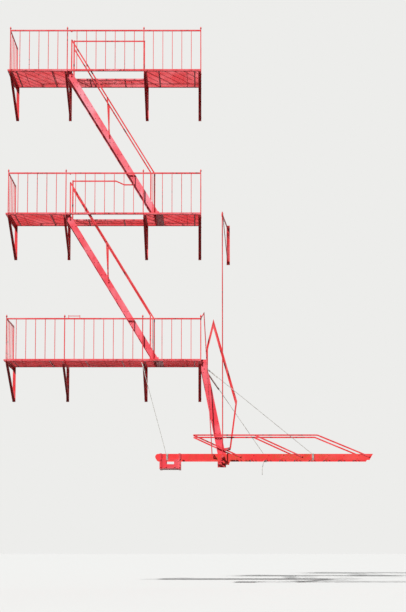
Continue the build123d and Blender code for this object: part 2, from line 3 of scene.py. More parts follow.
import bpy
import numpy as np
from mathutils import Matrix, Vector


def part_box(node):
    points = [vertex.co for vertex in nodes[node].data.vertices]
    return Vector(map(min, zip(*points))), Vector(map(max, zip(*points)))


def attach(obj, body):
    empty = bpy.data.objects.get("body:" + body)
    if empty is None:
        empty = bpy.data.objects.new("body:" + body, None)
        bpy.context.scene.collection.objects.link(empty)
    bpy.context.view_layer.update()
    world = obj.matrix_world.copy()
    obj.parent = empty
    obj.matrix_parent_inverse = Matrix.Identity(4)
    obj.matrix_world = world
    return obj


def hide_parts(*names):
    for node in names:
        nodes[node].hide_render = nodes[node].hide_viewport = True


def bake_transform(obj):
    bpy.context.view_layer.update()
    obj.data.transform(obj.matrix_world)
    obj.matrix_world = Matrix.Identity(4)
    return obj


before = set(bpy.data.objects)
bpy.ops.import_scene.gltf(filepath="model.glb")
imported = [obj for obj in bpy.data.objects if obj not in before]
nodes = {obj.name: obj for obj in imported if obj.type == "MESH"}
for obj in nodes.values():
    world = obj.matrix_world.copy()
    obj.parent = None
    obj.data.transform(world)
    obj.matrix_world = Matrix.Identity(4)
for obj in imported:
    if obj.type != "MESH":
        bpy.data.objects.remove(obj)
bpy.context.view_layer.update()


# Platform brackets
# Each is a frame of hot-rolled angle, riveted at its corners, with two hex bolts through its upright leg.
# The steel was brushed with red oil enamel, now chalked by the sun, with rust coming through in places.
def linear(hex_colour):
    """An sRGB colour as linear light: a straight toe below 0.04045, and above it a power of 2.4."""
    channels = np.array([int(hex_colour[i:i + 2], 16) for i in (0, 2, 4)]) / 255
    curve = np.where(channels <= 0.04045, channels / 12.92, ((channels + 0.055) / 1.055) ** 2.4)
    return (*curve.tolist(), 1.0)


def add_node(tree, kind, inputs=None, **settings):
    """A node with its settings; each input takes a value, a hex colour or another node's output."""
    node = tree.nodes.new(kind)
    for name, value in settings.items():
        setattr(node, name, value)
    for socket, value in (inputs or {}).items():
        if isinstance(value, bpy.types.NodeSocket):
            tree.links.new(value, node.inputs[socket])
        else:
            node.inputs[socket].default_value = linear(value) if isinstance(value, str) else value
    return node


def per_metre(size_mm):
    """The scale of a pattern whose features are that many millimetres across."""
    return 1000 / size_mm


def noise_above(tree, place, size_mm, low, high, detail=4.0, roughness=0.55):
    """A share from 0 to 1: noise of one size, cut off below low and full above high."""
    noise = add_node(tree, "ShaderNodeTexNoise", {"Vector": place, "Scale": per_metre(size_mm),
                                                  "Detail": detail, "Roughness": roughness})
    share = add_node(tree, "ShaderNodeMapRange",
                     {"Value": noise.outputs["Fac"], "From Min": low, "From Max": high})
    return share.outputs["Result"]


def oil_enamel(name, shift, main="E2343A", chalked="EC6266", rust_low=0.60, grime=0.5, rusty="6A2A1A"):
    """Red oil enamel brushed on rolled steel: soft pink patches where sun has chalked it, dark runs of
    grime drawn out downwards, and small pits where rust lifts it. The gloss goes wherever the film is
    worn, and the whole film has lost half its sheen to the weather."""
    chalk_patch_mm, rusty_zone_mm, grime_run_mm, rust_pit_mm, brush_mark_mm = 520, 900, 70, 34, 12
    run_stretch, glossiest, dullest, pit_dulls, pit_sinks = 0.16, 0.48, 0.72, 0.3, -0.6
    material = bpy.data.materials.new(name)
    material.use_nodes = True
    tree = material.node_tree
    shader = tree.nodes["Principled BSDF"]
    place = add_node(tree, "ShaderNodeTexCoord").outputs["Object"]
    spot = add_node(tree, "ShaderNodeMapping", {"Vector": place, "Location": shift}).outputs["Vector"]
    stretched = add_node(tree, "ShaderNodeMapping", {"Vector": spot, "Scale": (1, 1, run_stretch)})
    drawn = stretched.outputs["Vector"]
    chalk = noise_above(tree, spot, chalk_patch_mm, 0.44, 0.68)
    runs = noise_above(tree, drawn, grime_run_mm, 0.50, 0.78, detail=6.0)
    pits = noise_above(tree, spot, rust_pit_mm, rust_low - 0.04, rust_low + 0.03,
                       detail=8.0, roughness=0.65)
    zones = noise_above(tree, spot, rusty_zone_mm, 0.47, 0.60)
    rust = add_node(tree, "ShaderNodeMath", {0: pits, 1: zones}, operation="MULTIPLY").outputs["Value"]
    dirt = add_node(tree, "ShaderNodeMath", {0: runs, 1: grime}, operation="MULTIPLY").outputs["Value"]
    film = add_node(tree, "ShaderNodeMix", {0: chalk, 6: main, 7: chalked}, data_type="RGBA").outputs[2]
    grimy = add_node(tree, "ShaderNodeMix", {0: dirt, 6: film, 7: "8E171C"}, data_type="RGBA").outputs[2]
    colour = add_node(tree, "ShaderNodeMix", {0: rust, 6: grimy, 7: rusty}, data_type="RGBA").outputs[2]
    worn = add_node(tree, "ShaderNodeMapRange", {"Value": chalk, "To Min": glossiest, "To Max": dullest})
    rough = add_node(tree, "ShaderNodeMath", {0: rust, 1: pit_dulls, 2: worn.outputs["Result"]},
                     operation="MULTIPLY_ADD")
    brush = add_node(tree, "ShaderNodeTexNoise",
                     {"Vector": drawn, "Scale": per_metre(brush_mark_mm), "Detail": 3.0})
    dents = add_node(tree, "ShaderNodeMath", {0: rust, 1: pit_sinks, 2: brush.outputs["Fac"]},
                     operation="MULTIPLY_ADD")
    relief = add_node(tree, "ShaderNodeBump",
                      {"Strength": 0.25, "Distance": 0.0006, "Height": dents.outputs["Value"]})
    tree.links.new(colour, shader.inputs["Base Color"])
    tree.links.new(rough.outputs["Value"], shader.inputs["Roughness"])
    tree.links.new(relief.outputs["Normal"], shader.inputs["Normal"])
    shader.inputs["IOR"].default_value = 1.5
    shader.inputs["Specular IOR Level"].default_value = 0.25
    return material


def dress(material, *names):
    """Gives CAD nodes their finish."""
    for name in names:
        nodes[name].data.materials.clear()
        nodes[name].data.materials.append(material)


def across(ways):
    """Two unit vectors square to each way and to each other: the way crossed with Z, or with X where the
    way is steep, and the way crossed with that."""
    ways = ways / np.linalg.norm(ways, axis=1, keepdims=True)
    helper = np.where(np.abs(ways[:, 2:]) < 0.7, [[0.0, 0.0, 1.0]], [[1.0, 0.0, 0.0]])
    first = np.cross(helper, ways)
    first /= np.linalg.norm(first, axis=1, keepdims=True)
    return ways, first, np.cross(ways, first)


def tube_faces(levels, sides):
    """Faces of a tube whose corners are numbered level by level, with the middles of its two ends after
    the last: quads between each level and the next, and a fan of triangles on each end."""
    side = np.arange(sides)
    after = (side + 1) % sides
    low = np.arange(levels - 1)[:, None] * sides
    quads = np.stack([low + side, low + after, low + sides + after, low + sides + side], axis=-1)
    last, middle = (levels - 1) * sides, levels * sides
    foot = np.stack([after, side, np.full(sides, middle)], axis=-1)
    tip = np.stack([last + side, last + after, np.full(sides, middle + 1)], axis=-1)
    return quads.reshape(-1, 4), np.concatenate([foot, tip])


def turned(profile, places, ways, sides, first_angle=0.0):
    """Like turned pieces: each profile point (radius, height) is a ring round its way through its place,
    at place + way * height + radius * (u cos a + v sin a), and both ends are closed by a fan."""
    profile, places = np.asarray(profile, float), np.atleast_2d(np.asarray(places, float))
    ways, u, v = across(np.broadcast_to(np.asarray(ways, float), places.shape))
    angle = first_angle + np.arange(sides) * 2 * pi / sides
    spoke = u[:, None] * np.cos(angle)[:, None] + v[:, None] * np.sin(angle)[:, None]
    rings = (places[:, None, None] + ways[:, None, None] * profile[:, 1][:, None, None]
             + spoke[:, None] * profile[:, 0][:, None, None])
    count, levels = len(places), len(profile)
    ends = places[:, None] + ways[:, None] * profile[[0, -1], 1][:, None]
    vertices = np.concatenate([rings.reshape(count, -1, 3), ends], axis=1)
    quads, fans = tube_faces(levels, sides)
    step = (np.arange(count) * (levels * sides + 2))[:, None, None]
    faces = (quads + step).reshape(-1, 4).tolist() + (fans + step).reshape(-1, 3).tolist()
    return vertices.reshape(-1, 3), faces


def make_piece(name, shapes, material, body, smooth=False):
    """Joins shapes into one mesh, gives it its finish and lets it ride on its body, if one is named."""
    starts = np.cumsum([0] + [len(vertices) for vertices, faces in shapes]).tolist()
    joined = [[start + corner for corner in face]
              for start, (vertices, faces) in zip(starts, shapes) for face in faces]
    mesh = bpy.data.meshes.new(name)
    mesh.from_pydata(np.concatenate([vertices for vertices, faces in shapes]).tolist(), [], joined)
    mesh.polygons.foreach_set("use_smooth", np.full(len(joined), smooth))
    mesh.materials.append(material)
    piece = bpy.data.objects.new(name, mesh)
    bpy.context.scene.collection.objects.link(piece)
    if body:
        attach(piece, body)
    return piece


def bolts(places, ways, across_flats=0.024):
    """Hex bolt heads on washers: a washer 1.25 times as wide as the head's flats are apart, and a head
    five eighths of that distance high, its top corners taken off."""
    flat, washer_thick, washer_sides = across_flats / 2, 0.003, 14
    corner = flat / cos(pi / 6)
    washer = [(1.25 * flat, 0), (1.25 * flat, washer_thick)]
    head = [(corner, washer_thick), (corner, washer_thick + 1.05 * flat),
            (0.92 * flat, washer_thick + 1.25 * flat)]
    return [turned(washer, places, ways, washer_sides),
            turned(head, places, ways, 6, first_angle=pi / 6)]


def rivets(places, ways, radius=0.010):
    """Snap-head rivets: a low dome, its height 0.65 of its radius."""
    lifts = np.radians((0, 28, 55, 80))
    dome = [(radius * np.cos(lift), 0.65 * radius * np.sin(lift)) for lift in lifts]
    return [turned(dome, places, ways, 10)]


FIXED = "fixed_stair"
STOREYS = ("upper", "middle", "lower")
front_way = (0, -1, 0)

platform = {storey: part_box(f"{storey}_platform_frame") for storey in STOREYS}
rim_left, platform_right = (corner.x for corner in platform["upper"])
rim_out, platform_bays, bays_beside_well = 0.045, 20, 6
platform_left = rim_left + rim_out
bay = (platform_right - platform_left) / platform_bays
well_left = platform_left + bays_beside_well * bay
well_right = platform_right - bays_beside_well * bay

bracket_red = oil_enamel("oil_enamel_on_brackets", (3.1, 0.4, 1.7), rust_low=0.57)
leg_middle, bolt_from_corner = 0.0355, 0.030
chord_deep, strut_wide, angle_wall = 0.063, 0.050, 0.008
rivet_drop, rivets_from_front = 0.035, (0.09, 0.13)
leg_rivet_out, foot_rivet_rise = 0.05, 0.06
leg_places = [(platform_left, 1), (well_left, -1), (well_right, 1), (platform_right, -1)]
for storey in STOREYS:
    low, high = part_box(f"{storey}_brackets")
    dress(bracket_red, f"{storey}_brackets")
    bolt_levels = (high.z - chord_deep - bolt_from_corner, low.z + strut_wide + bolt_from_corner)
    places = [(x + side * leg_middle, -angle_wall, z) for x, side in leg_places for z in bolt_levels]
    shapes = bolts(places, front_way)
    rivet_level = high.z - rivet_drop
    front_pair = [(low.y + inwards, rivet_level) for inwards in rivets_from_front]
    leg_pair = [(-leg_rivet_out, rivet_level), (-leg_rivet_out, low.z + foot_rivet_rise)]
    for x, side in leg_places:
        shapes += rivets([(x, y, z) for y, z in front_pair + leg_pair], (-side, 0, 0))
        shapes += rivets([(x + side * angle_wall, y, z) for y, z in front_pair], (side, 0, 0))
    make_piece(f"{storey}_bracket_fixings", shapes, bracket_red, FIXED)


# Platform frames
# An angle rim welded at its corners, with flat cross bars riveted to it under the floor.
# Red enamel much faded by the sun, with rust let in by knocks.
rim_red = oil_enamel("oil_enamel_on_rims", (0.0, 2.2, 5.3), main="E4484F", chalked="EF838A",
                     rust_low=0.56)
left_way, right_way = (-1, 0, 0), (1, 0, 0)
platform_front, platform_back = (corner.y for corner in platform["upper"])
floor_level = {storey: platform[storey][1].z for storey in STOREYS}
rim_deep, rim_rivet, depth_bays = 0.034, 0.008, 5
rivet_x = platform_left + np.arange(1, platform_bays, 2) * bay
rivet_y = platform_front + np.arange(1, depth_bays) * (platform_back - platform_front) / depth_bays
for storey in STOREYS:
    dress(rim_red, f"{storey}_platform_frame")
    rim_middle = floor_level[storey] - rim_deep / 2
    shapes = rivets([(x, platform_front, rim_middle) for x in rivet_x], front_way, rim_rivet)
    for x, way in ((rim_left, left_way), (platform_right, right_way)):
        shapes += rivets([(x, y, rim_middle) for y in rivet_y], way, rim_rivet)
    make_piece(f"{storey}_rim_rivets", shapes, rim_red, FIXED)


# Platform floors
# Flat bars on edge along the platform, held on round tie rods that are riveted over at both ends.
# The upper floor is the most bleached; the lowest's deepest red is partly painted shade of those above.
# The lower entry's darker reds and larger grime share are partly painted shade, partly less bleaching.
floor_films_and_shade = {"upper": ("E0444A", "F08085", 0.25), "middle": ("DE3A40", "EE6A6F", 0.30),
               "lower": ("B2262B", "CE464B", 0.45)}
back_way = (0, 1, 0)
tie_radius, tie_sides, tie_drop, tie_inset = 0.004, 8, 0.012, 0.006
well_edge = -0.481
ties_beside_well, ties_behind_well = (1.5, 4.5, 15.5, 18.5), (7.5, 10, 12.5)
for storey, (main, chalked, grime) in floor_films_and_shade.items():
    floor_red = oil_enamel(f"oil_enamel_on_{storey}_floor_bars", (6.4, 1.0, 0.2), main, chalked,
                           rust_low=0.58, grime=grime)
    dress(floor_red, f"{storey}_floor_bars")
    rim_inside = platform_front + tie_inset
    ties = [(step, rim_inside) for step in ties_beside_well]
    ties += [(step, rim_inside if storey == "lower" else well_edge) for step in ties_behind_well]
    z = floor_level[storey] - tie_drop
    shapes = [turned([(tie_radius, 0), (tie_radius, platform_back - tie_inset - y)],
                     (platform_left + bay * step, y, z), back_way, tie_sides) for step, y in ties]
    make_piece(f"{storey}_tie_rods", shapes, floor_red, FIXED)


# Railings
# Square posts with turned knobs, and square balusters riveted over where they pass through flat rails.
# The same enamel, a little chalked, with few pits of rust.
rail_red = oil_enamel("oil_enamel_on_railings", (1.3, 7.1, 0.0), main="E0363D", chalked="EA666A",
                      rust_low=0.59)
up_way = (0, 0, 1)
rail_height, post_half, post_bolt_drop = 0.865, 0.010, 0.016
baluster_rivet, small_flats, post_clear, knob_sides = 0.0065, 0.013, 0.05, 20
post_places = (platform_left + post_half, well_left, well_right, platform_right - post_half)
knob = [(0.0095, 0.0), (0.0095, 0.004), (0.0075, 0.007), (0.0078, 0.016), (0.0125, 0.021),
        (0.0172, 0.029), (0.0176, 0.036), (0.0158, 0.045), (0.0118, 0.053), (0.0078, 0.060),
        (0.0048, 0.0655), (0.0042, 0.0700)]
baluster_x = [x for x in platform_left + np.arange(1, platform_bays) * bay
              if min(abs(x - post) for post in post_places) > post_clear]
for storey in STOREYS:
    dress(rail_red, *(f"{storey}_{part}_railing" for part in ("front", "left", "right")))
    level, y = floor_level[storey], platform_front + post_half
    rail_top = level + rail_height
    knobs = turned(knob, [(x, y, rail_top) for x in post_places], up_way, knob_sides)
    make_piece(f"{storey}_post_knobs", [knobs], rail_red, FIXED, smooth=True)
    tops = [(x, y, rail_top) for x in baluster_x]
    for x, first in ((post_places[0], 1), (post_places[-1], 3 if storey == "lower" else 1)):
        tops += [(x, y + bay * step, rail_top) for step in range(first, depth_bays)]
    shapes = rivets(tops, up_way, baluster_rivet)
    post_bolts = [(x, platform_front, level - post_bolt_drop) for x in post_places]
    shapes += bolts(post_bolts, front_way, small_flats)
    make_piece(f"{storey}_baluster_rivets", shapes, rail_red, FIXED)


# Stairwell guards
# A flat bar on flat posts, bolted along the well's inner edge; the middle one is bent and short a post.
# The same enamel as the railings, with a little more rust.
guard_red = oil_enamel("oil_enamel_on_guards", (2.6, 3.3, 8.8), rust_low=0.56)
bar_middle, foot_bolt_rises, bar_flats = 0.014, (0.025, 0.060), 0.016
for storey, has_right_post in (("upper", True), ("middle", False)):
    low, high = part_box(f"{storey}_stairwell_guard")
    dress(guard_red, f"{storey}_stairwell_guard")
    level = floor_level[storey]
    post_x = [low.x + bar_middle, high.x - bar_middle] if has_right_post else [low.x + bar_middle]
    places = [(x, low.y, high.z - bar_middle) for x in post_x]
    places += [(x, low.y, level + foot_rise) for x in post_x for foot_rise in foot_bolt_rises]
    make_piece(f"{storey}_guard_bolts", bolts(places, front_way, bar_flats), guard_red, FIXED)


# Open flights
# Flat-bar stringers with open treads between them, two bolts to a tread end, and flat handrails outside.
# The stringers' enamel is faded like the rims', the upper ones' the most, and the treads are darker.
stringer_films = {"upper": ("EE5C68", "F695A1"), "middle": ("EC4C58", "F4808B"),
                  "lower": ("EC424E", "F2717C")}
stringer_red = {storey: oil_enamel(f"oil_enamel_on_{storey}_stringers", (4.2, 0.9, 3.6), main, chalked,
                                   rust_low=0.64, grime=0.25)
                for storey, (main, chalked) in stringer_films.items()}
tread_red = oil_enamel("oil_enamel_on_treads", (9.5, 5.1, 2.4), main="C8242A", chalked="D44446",
                       rust_low=0.53)
handrail_red = oil_enamel("oil_enamel_on_handrails", (5.7, 8.3, 1.1), rust_low=0.58)
tread_bolt_aside, tread_bolt_drop = 0.040, 0.0125
run, risers = 1.89, 12
foot_x = well_left + run
rise = floor_level["upper"] - floor_level["middle"]
near_face, far_face = (corner.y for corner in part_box("upper_flight_stringers"))
middle_post_x, near_post_lean = foot_x - 1.035, 0.05
near_newel_in, far_newel_in = 0.027, 0.127
rail_bolt_rise, post_bolt_rises = 0.805, (0.02, 0.06)
eye_left, eye_back, eye_rise, eye_reach, eye_thick = 0.006, 0.004, 0.006, 0.015, 0.007


def flight_level(x, below):
    """The height of a flight's line at x: the floor below, and rise over run times the way from its foot."""
    return floor_level[below] + (foot_x - x) * rise / run


def ring(place, way, reach, thick, turns=28, sides=10):
    """A closed ring: the circle thick * (out cos b + way sin b) carried round the circle
    place + reach * out, with out = u cos a + v sin a."""
    way, u, v = (vectors[0] for vectors in across(np.array([way], float)))
    a, b = np.meshgrid(np.arange(turns) * 2 * pi / turns, np.arange(sides) * 2 * pi / sides,
                       indexing="ij")
    out = u * np.cos(a)[..., None] + v * np.sin(a)[..., None]
    vertices = (np.asarray(place) + out * (reach + thick * np.cos(b))[..., None]
                + way * (thick * np.sin(b))[..., None])
    i, j = np.meshgrid(np.arange(turns), np.arange(sides), indexing="ij")
    i_next, j_next = (i + 1) % turns, (j + 1) % sides
    faces = np.stack([i * sides + j, i_next * sides + j, i_next * sides + j_next, i * sides + j_next],
                     axis=-1)
    return vertices.reshape(-1, 3), faces.reshape(-1, 4).tolist()


for storey, below in (("upper", "middle"), ("middle", "lower")):
    dress(stringer_red[storey], f"{storey}_flight_stringers")
    dress(tread_red, f"{storey}_flight_treads")
    dress(handrail_red, f"{storey}_flight_handrails")
    steps = np.arange(1, risers)
    tread_x = foot_x + tread_bolt_drop * run / rise - run / risers * steps
    tread_z = floor_level[below] + rise / risers * steps - tread_bolt_drop
    pairs = [(x + side * tread_bolt_aside, z) for x, z in zip(tread_x, tread_z) for side in (-1, 1)]
    shapes = bolts([(x, near_face, z) for x, z in pairs], front_way, small_flats)
    shapes += bolts([(x, far_face, z) for x, z in pairs], back_way, small_flats)
    make_piece(f"{storey}_tread_bolts", shapes, stringer_red[storey], FIXED)
    low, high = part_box(f"{storey}_flight_handrails")
    newel_x = low.x + bar_middle
    shapes = []
    for y, way, newel_in, lean in ((low.y, front_way, near_newel_in, near_post_lean),
                                   (high.y, back_way, far_newel_in, 0.0)):
        foot_newel_x = foot_x - newel_in
        for top, foot in ((middle_post_x, middle_post_x + lean), (newel_x, newel_x),
                          (foot_newel_x, foot_newel_x)):
            fixings = [(top, y, flight_level(top, below) + rail_bolt_rise)]
            fixings += [(foot, y, flight_level(foot, below) + above) for above in post_bolt_rises]
            shapes += bolts(fixings, way, bar_flats)
    make_piece(f"{storey}_handrail_bolts", shapes, handrail_red, FIXED)
    eye_place = (newel_x - eye_left, low.y + eye_back, high.z + eye_rise)
    newel_eye = ring(eye_place, back_way, eye_reach, eye_thick)
    make_piece(f"{storey}_newel_eye", [newel_eye], handrail_red, FIXED, smooth=True)


# Steep flight
# Two flat bars hung from the lowest platform's end down to the pivot shaft, with bent handrails.
# It has open treads and the enamel of the open flights, and bolt heads show along the near stringer.
dress(stringer_red["lower"], "lower_flight_stringers")
dress(tread_red, "lower_flight_treads")
dress(handrail_red, "lower_flight_handrails")
steep_front, steep_back = (corner.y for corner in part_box("lower_flight_stringers"))
knee_x, knee_z, steep_risers, stringer_flats = -0.37, 1.815, 8, 0.019
head_bolts = [(-0.405, 1.985), (-0.388, 1.846), (-0.335, 1.985)]
lower_bolts = [(-0.215, 0.779), (-0.062, 0.375), (-0.105, 0.373)]
step_z = np.arange(1, steep_risers) * floor_level["lower"] / steep_risers
step_x = knee_x * np.minimum(step_z, knee_z) / knee_z
pairs = [(x + side * tread_bolt_aside, z - tread_bolt_drop) for x, z in zip(step_x, step_z)
         for side in (-1, 1)]
shapes = bolts([(x, steep_front, z) for x, z in pairs], front_way, small_flats)
shapes += bolts([(x, steep_back, z) for x, z in pairs], back_way, small_flats)
shapes += bolts([(x, steep_front, z) for x, z in head_bolts + lower_bolts], front_way, stringer_flats)
make_piece("lower_tread_bolts", shapes, stringer_red["lower"], FIXED)


# Pivot shaft and its bearing
# A turned shaft in a bolted bearing, its near end carried by a round rod from a skewed bracket above.
# Steel under the red enamel of the brackets and railings, which lies thick over the nuts.
dress(bracket_red, "pivot_wall_bracket", "gallows_bracket", "hanger_rod")
dress(rail_red, "pivot_shaft")
bearing_plate_thick, bearing_bolt_z = 0.012, 0.12
gallows_bolt_x, gallows_level, gallows_drop = 0.159, 5.053, 0.75
plate_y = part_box("pivot_wall_bracket")[1].y - bearing_plate_thick
shapes = bolts([(0, plate_y, z) for z in (-bearing_bolt_z, bearing_bolt_z)], front_way)
gallows_bolts = [(gallows_bolt_x, plate_y, z) for z in (gallows_level - gallows_drop, gallows_level)]
shapes += bolts(gallows_bolts, front_way)
make_piece("pivot_wall_bolts", shapes, bracket_red, FIXED)

eye_front, hanger_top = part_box("hanger_rod")[0].y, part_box("hanger_rod")[1].z
rod_behind_eye, pin_forward, nut_thick, boss_high = 0.010, 0.002, 0.018, 0.050
pin_ring_rise, pin_ring_reach, pin_ring_thick = 0.036, 0.006, 0.0028
pin_y = (eye_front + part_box("pivot_shaft")[0].y) / 2 - pin_forward
hanger_y = eye_front + rod_behind_eye
end_washer = [(0.033, 0), (0.036, 0.001), (0.036, 0.003), (0.033, 0.004)]
split_pin = [(0.003, -0.036), (0.0035, -0.035), (0.0035, 0.031)]
nut = [(0.0155, 0), (0.0185, 0.002), (0.0185, nut_thick - 0.002), (0.0155, nut_thick)]
boss = [(0.0175, 0), (0.0195, 0.004), (0.0195, boss_high - 0.004), (0.0175, boss_high)]
rod_end = [(0.011, 0), (0.011, 0.036), (0.009, 0.038)]
shapes = [turned(end_washer, (0, eye_front, 0), front_way, 28),
          turned(split_pin, (0, pin_y, 0), up_way, 10),
          ring((0, pin_y, pin_ring_rise), right_way, pin_ring_reach, pin_ring_thick),
          turned(boss, (0, hanger_y, hanger_top), up_way, 20),
          turned(nut, (0, hanger_y, hanger_top - nut_thick), up_way, 6),
          turned(nut, (0, hanger_y, hanger_top + boss_high), up_way, 6),
          turned(rod_end, (0, hanger_y, hanger_top + boss_high), up_way, 16)]
make_piece("hanger_nuts_and_pins", shapes, bracket_red, FIXED)


# Rest rod
# A round rod hung on a pin through the platform's corner post, its flat foot under the near beam's stud.
# Thin paint over mill scale, chalked pink in patches, with rust between them.
rod_red = oil_enamel("oil_enamel_on_rods", (8.1, 2.9, 6.6), main="DC3A44", chalked="EC7680",
                     rust_low=0.55, grime=0.3)
dress(rod_red, "arm_rest_rod")
rest_pin_drop, rest_pin_flats = 0.020, 0.030
rest_pin = (post_places[-1], platform_front, floor_level["lower"] + rail_height - rest_pin_drop)
make_piece("rest_rod_nut", bolts([rest_pin], front_way, rest_pin_flats), rod_red, FIXED)


# Swing stair
# Two deep flat beams on the shaft, open treads set level for the lowered stair, handrails bolted outside.
# The beams have the brightest red enamel, with small orange pits of rust.
beam_red = oil_enamel("oil_enamel_on_beams", (7.7, 4.4, 9.2), main="EE383B", chalked="F0524F",
                      rust_low=0.54, grime=0.25, rusty="C9552B")
dress(beam_red, "swing_near_beam", "swing_far_beam")
dress(handrail_red, "swing_near_handrail", "swing_far_handrail")
dress(tread_red, "swing_treads")
SWING = "swing_stair"
near_rail_low, near_rail_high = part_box("swing_near_handrail")
far_rail_low, far_rail_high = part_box("swing_far_handrail")
swing_pitch, swing_treads, lowered = 0.310, 9, radians(60)
behind_rail_feet = ((1, 1), (5, 1))
aside_x, aside_z = cos(lowered) * tread_bolt_aside, sin(lowered) * tread_bolt_aside
tread_ends = [(swing_pitch * step + side * aside_x, side * aside_z)
              for step in range(1, swing_treads + 1) for side in (-1, 1)
              if (step, side) not in behind_rail_feet]
rail_joints = [(-0.588, 0.450), (0.668, 0.450), (0.368, 0.006), (1.639, 0.006), (3.028, 0.007)]
shapes = bolts([(x, near_rail_high.y, z) for x, z in tread_ends], front_way, small_flats)
shapes += bolts([(x, far_rail_low.y, z) for x, z in tread_ends], back_way, small_flats)
shapes += bolts([(x, near_rail_low.y, z) for x, z in rail_joints], front_way, bar_flats)
shapes += bolts([(x, far_rail_high.y, z) for x, z in rail_joints], back_way, bar_flats)
make_piece("swing_stair_bolts", shapes, beam_red, SWING)
rest_stud, stud_flats = (-0.175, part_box("swing_near_beam")[0].y, 0.040), 0.020
make_piece("rest_stud_nut", bolts([rest_stud], front_way, stud_flats), rod_red, SWING)


# Counterweight
# Castings side by side under the arms, in a bolted cradle of two windowed plates on straps.
# The castings are sand-cast iron and the cradle is plate, both under faded red enamel with pits of rust.
cradle_red = oil_enamel("oil_enamel_on_cradle", (3.7, 5.2, 1.8), main="E9424B", chalked="F0757E",
                        rust_low=0.56, grime=0.3)
cast_red = oil_enamel("enamel_on_sand_cast_iron", (2.2, 6.1, 4.0), main="E6383F", chalked="EE666C",
                      rust_low=0.55)
dress(cradle_red, "counterweight_cradle")
dress(cast_red, "counterweight_blocks")


def bent_strap(path, left, wide, thick):
    """A flat strap bent square round the beams: its inner line of (y, z) corners is moved out by thick,
    with mitred corners, and the band between the two lines goes from left to left + wide."""
    path = np.asarray(path, float)
    ways = np.diff(path, axis=0)
    ways /= np.linalg.norm(ways, axis=1, keepdims=True)
    normals = np.column_stack([-ways[:, 1], ways[:, 0]])
    normals = np.concatenate([normals[:1], normals, normals[-1:]])
    mitre = normals[:-1] + normals[1:]
    outer = path + thick * 2 * mitre / (mitre ** 2).sum(axis=1, keepdims=True)
    corners = np.stack([path, path, outer, outer], axis=1)
    x = np.array([left, left + wide, left + wide, left])[:, None]
    vertices = np.concatenate([np.broadcast_to(x, (len(path), 4, 1)), corners], axis=-1)
    last = (len(path) - 1) * 4
    ends = [[3, 2, 1, 0], [last, last + 1, last + 2, last + 3]]
    return vertices.reshape(-1, 3), tube_faces(len(path), 4)[0].tolist() + ends


cradle_low, cradle_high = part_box("counterweight_cradle")
strap_wide, strap_thick, beam_half, strap_clear = 0.045, 0.008, 0.063, 0.0005
plate_lap, strap_bolt_drop, strap_bolt_rise, strap_flats = 0.018, 0.012, 0.035, 0.019
through_bolt_x, through_bolt_rise, through_flats = (-1.170, -0.990), 0.040, 0.022
strap_ends, over_beam = plate_lap - beam_half, beam_half + strap_clear
strap_front, strap_back = cradle_low.y + strap_thick, cradle_high.y - strap_thick
strap_line = [(strap_front, strap_ends), (strap_front, over_beam),
              (strap_back, over_beam), (strap_back, strap_ends)]
strap_lefts = (cradle_low.x, cradle_high.x - strap_wide)
strap_bolt_levels = (strap_ends - strap_bolt_drop, cradle_low.z + strap_bolt_rise)
shapes = [bent_strap(strap_line, x, strap_wide, strap_thick) for x in strap_lefts]
for strap_y, side_y, way in ((cradle_low.y, strap_front, front_way),
                             (cradle_high.y, strap_back, back_way)):
    places = [(x + strap_wide / 2, strap_y, z) for x in strap_lefts for z in strap_bolt_levels]
    shapes += bolts(places, way, strap_flats)
    places = [(x, side_y, cradle_low.z + through_bolt_rise) for x in through_bolt_x]
    shapes += bolts(places, way, through_flats)
make_piece("cradle_straps_and_bolts", shapes, cradle_red, SWING)


# Wire stays
# Galvanised wire rope, about 12 mm thick, tied by hand: a few turns round a beam, one end left loose.
# Weathered zinc on twisted strands: pale matt grey, with fine dark lines where the strands meet.
def weathered_strands(name, pale="CDCCC6", grey="8E8C85", metal=0.5, rough=0.5):
    """Strands that the weather has turned from pale to a duller grey, in patches of a few centimetres."""
    dull_patch_mm = 60
    material = bpy.data.materials.new(name)
    material.use_nodes = True
    tree = material.node_tree
    shader = tree.nodes["Principled BSDF"]
    place = add_node(tree, "ShaderNodeTexCoord").outputs["Object"]
    dull = noise_above(tree, place, dull_patch_mm, 0.4, 0.7)
    colour = add_node(tree, "ShaderNodeMix", {0: dull, 6: pale, 7: grey}, data_type="RGBA").outputs[2]
    tree.links.new(colour, shader.inputs["Base Color"])
    shader.inputs["Metallic"].default_value = metal
    shader.inputs["Roughness"].default_value = rough
    return material


rope_radius = 0.006


def rope(path, level_way, radius=rope_radius, lay=0.080, strands=6):
    """A wire rope along a path: its radius is radius * (0.84 + 0.16 |cos(strands / 2 * (angle - turn))|),
    and turn grows by a full turn in each lay. level_way is a way that the path never runs along."""
    path = np.asarray(path, float)
    along = np.gradient(path, axis=0)
    along /= np.linalg.norm(along, axis=1, keepdims=True)
    u = np.cross(np.asarray(level_way, float)[None], along)
    u /= np.linalg.norm(u, axis=1, keepdims=True)
    v = np.cross(along, u)
    gone = np.concatenate([[0], np.cumsum(np.linalg.norm(np.diff(path, axis=0), axis=1))])
    points = 6 * strands
    angle = np.arange(points) * 2 * pi / points
    turn = 2 * pi * gone[:, None] / lay
    reach = radius * (0.84 + 0.16 * np.abs(np.cos(strands / 2 * (angle - turn))))
    rings = (path[:, None] + u[:, None] * (reach * np.cos(angle))[..., None]
             + v[:, None] * (reach * np.sin(angle))[..., None])
    quads, fans = tube_faces(len(path), points)
    return np.concatenate([rings.reshape(-1, 3), path[[0, -1]]]), quads.tolist() + fans.tolist()


def straight(start, end, step=0.007):
    """Even points from start to end."""
    start, end = np.asarray(start, float), np.asarray(end, float)
    count = int(np.linalg.norm(end - start) / step)
    return start + (end - start) * np.linspace(0, 1, count)[:, None]


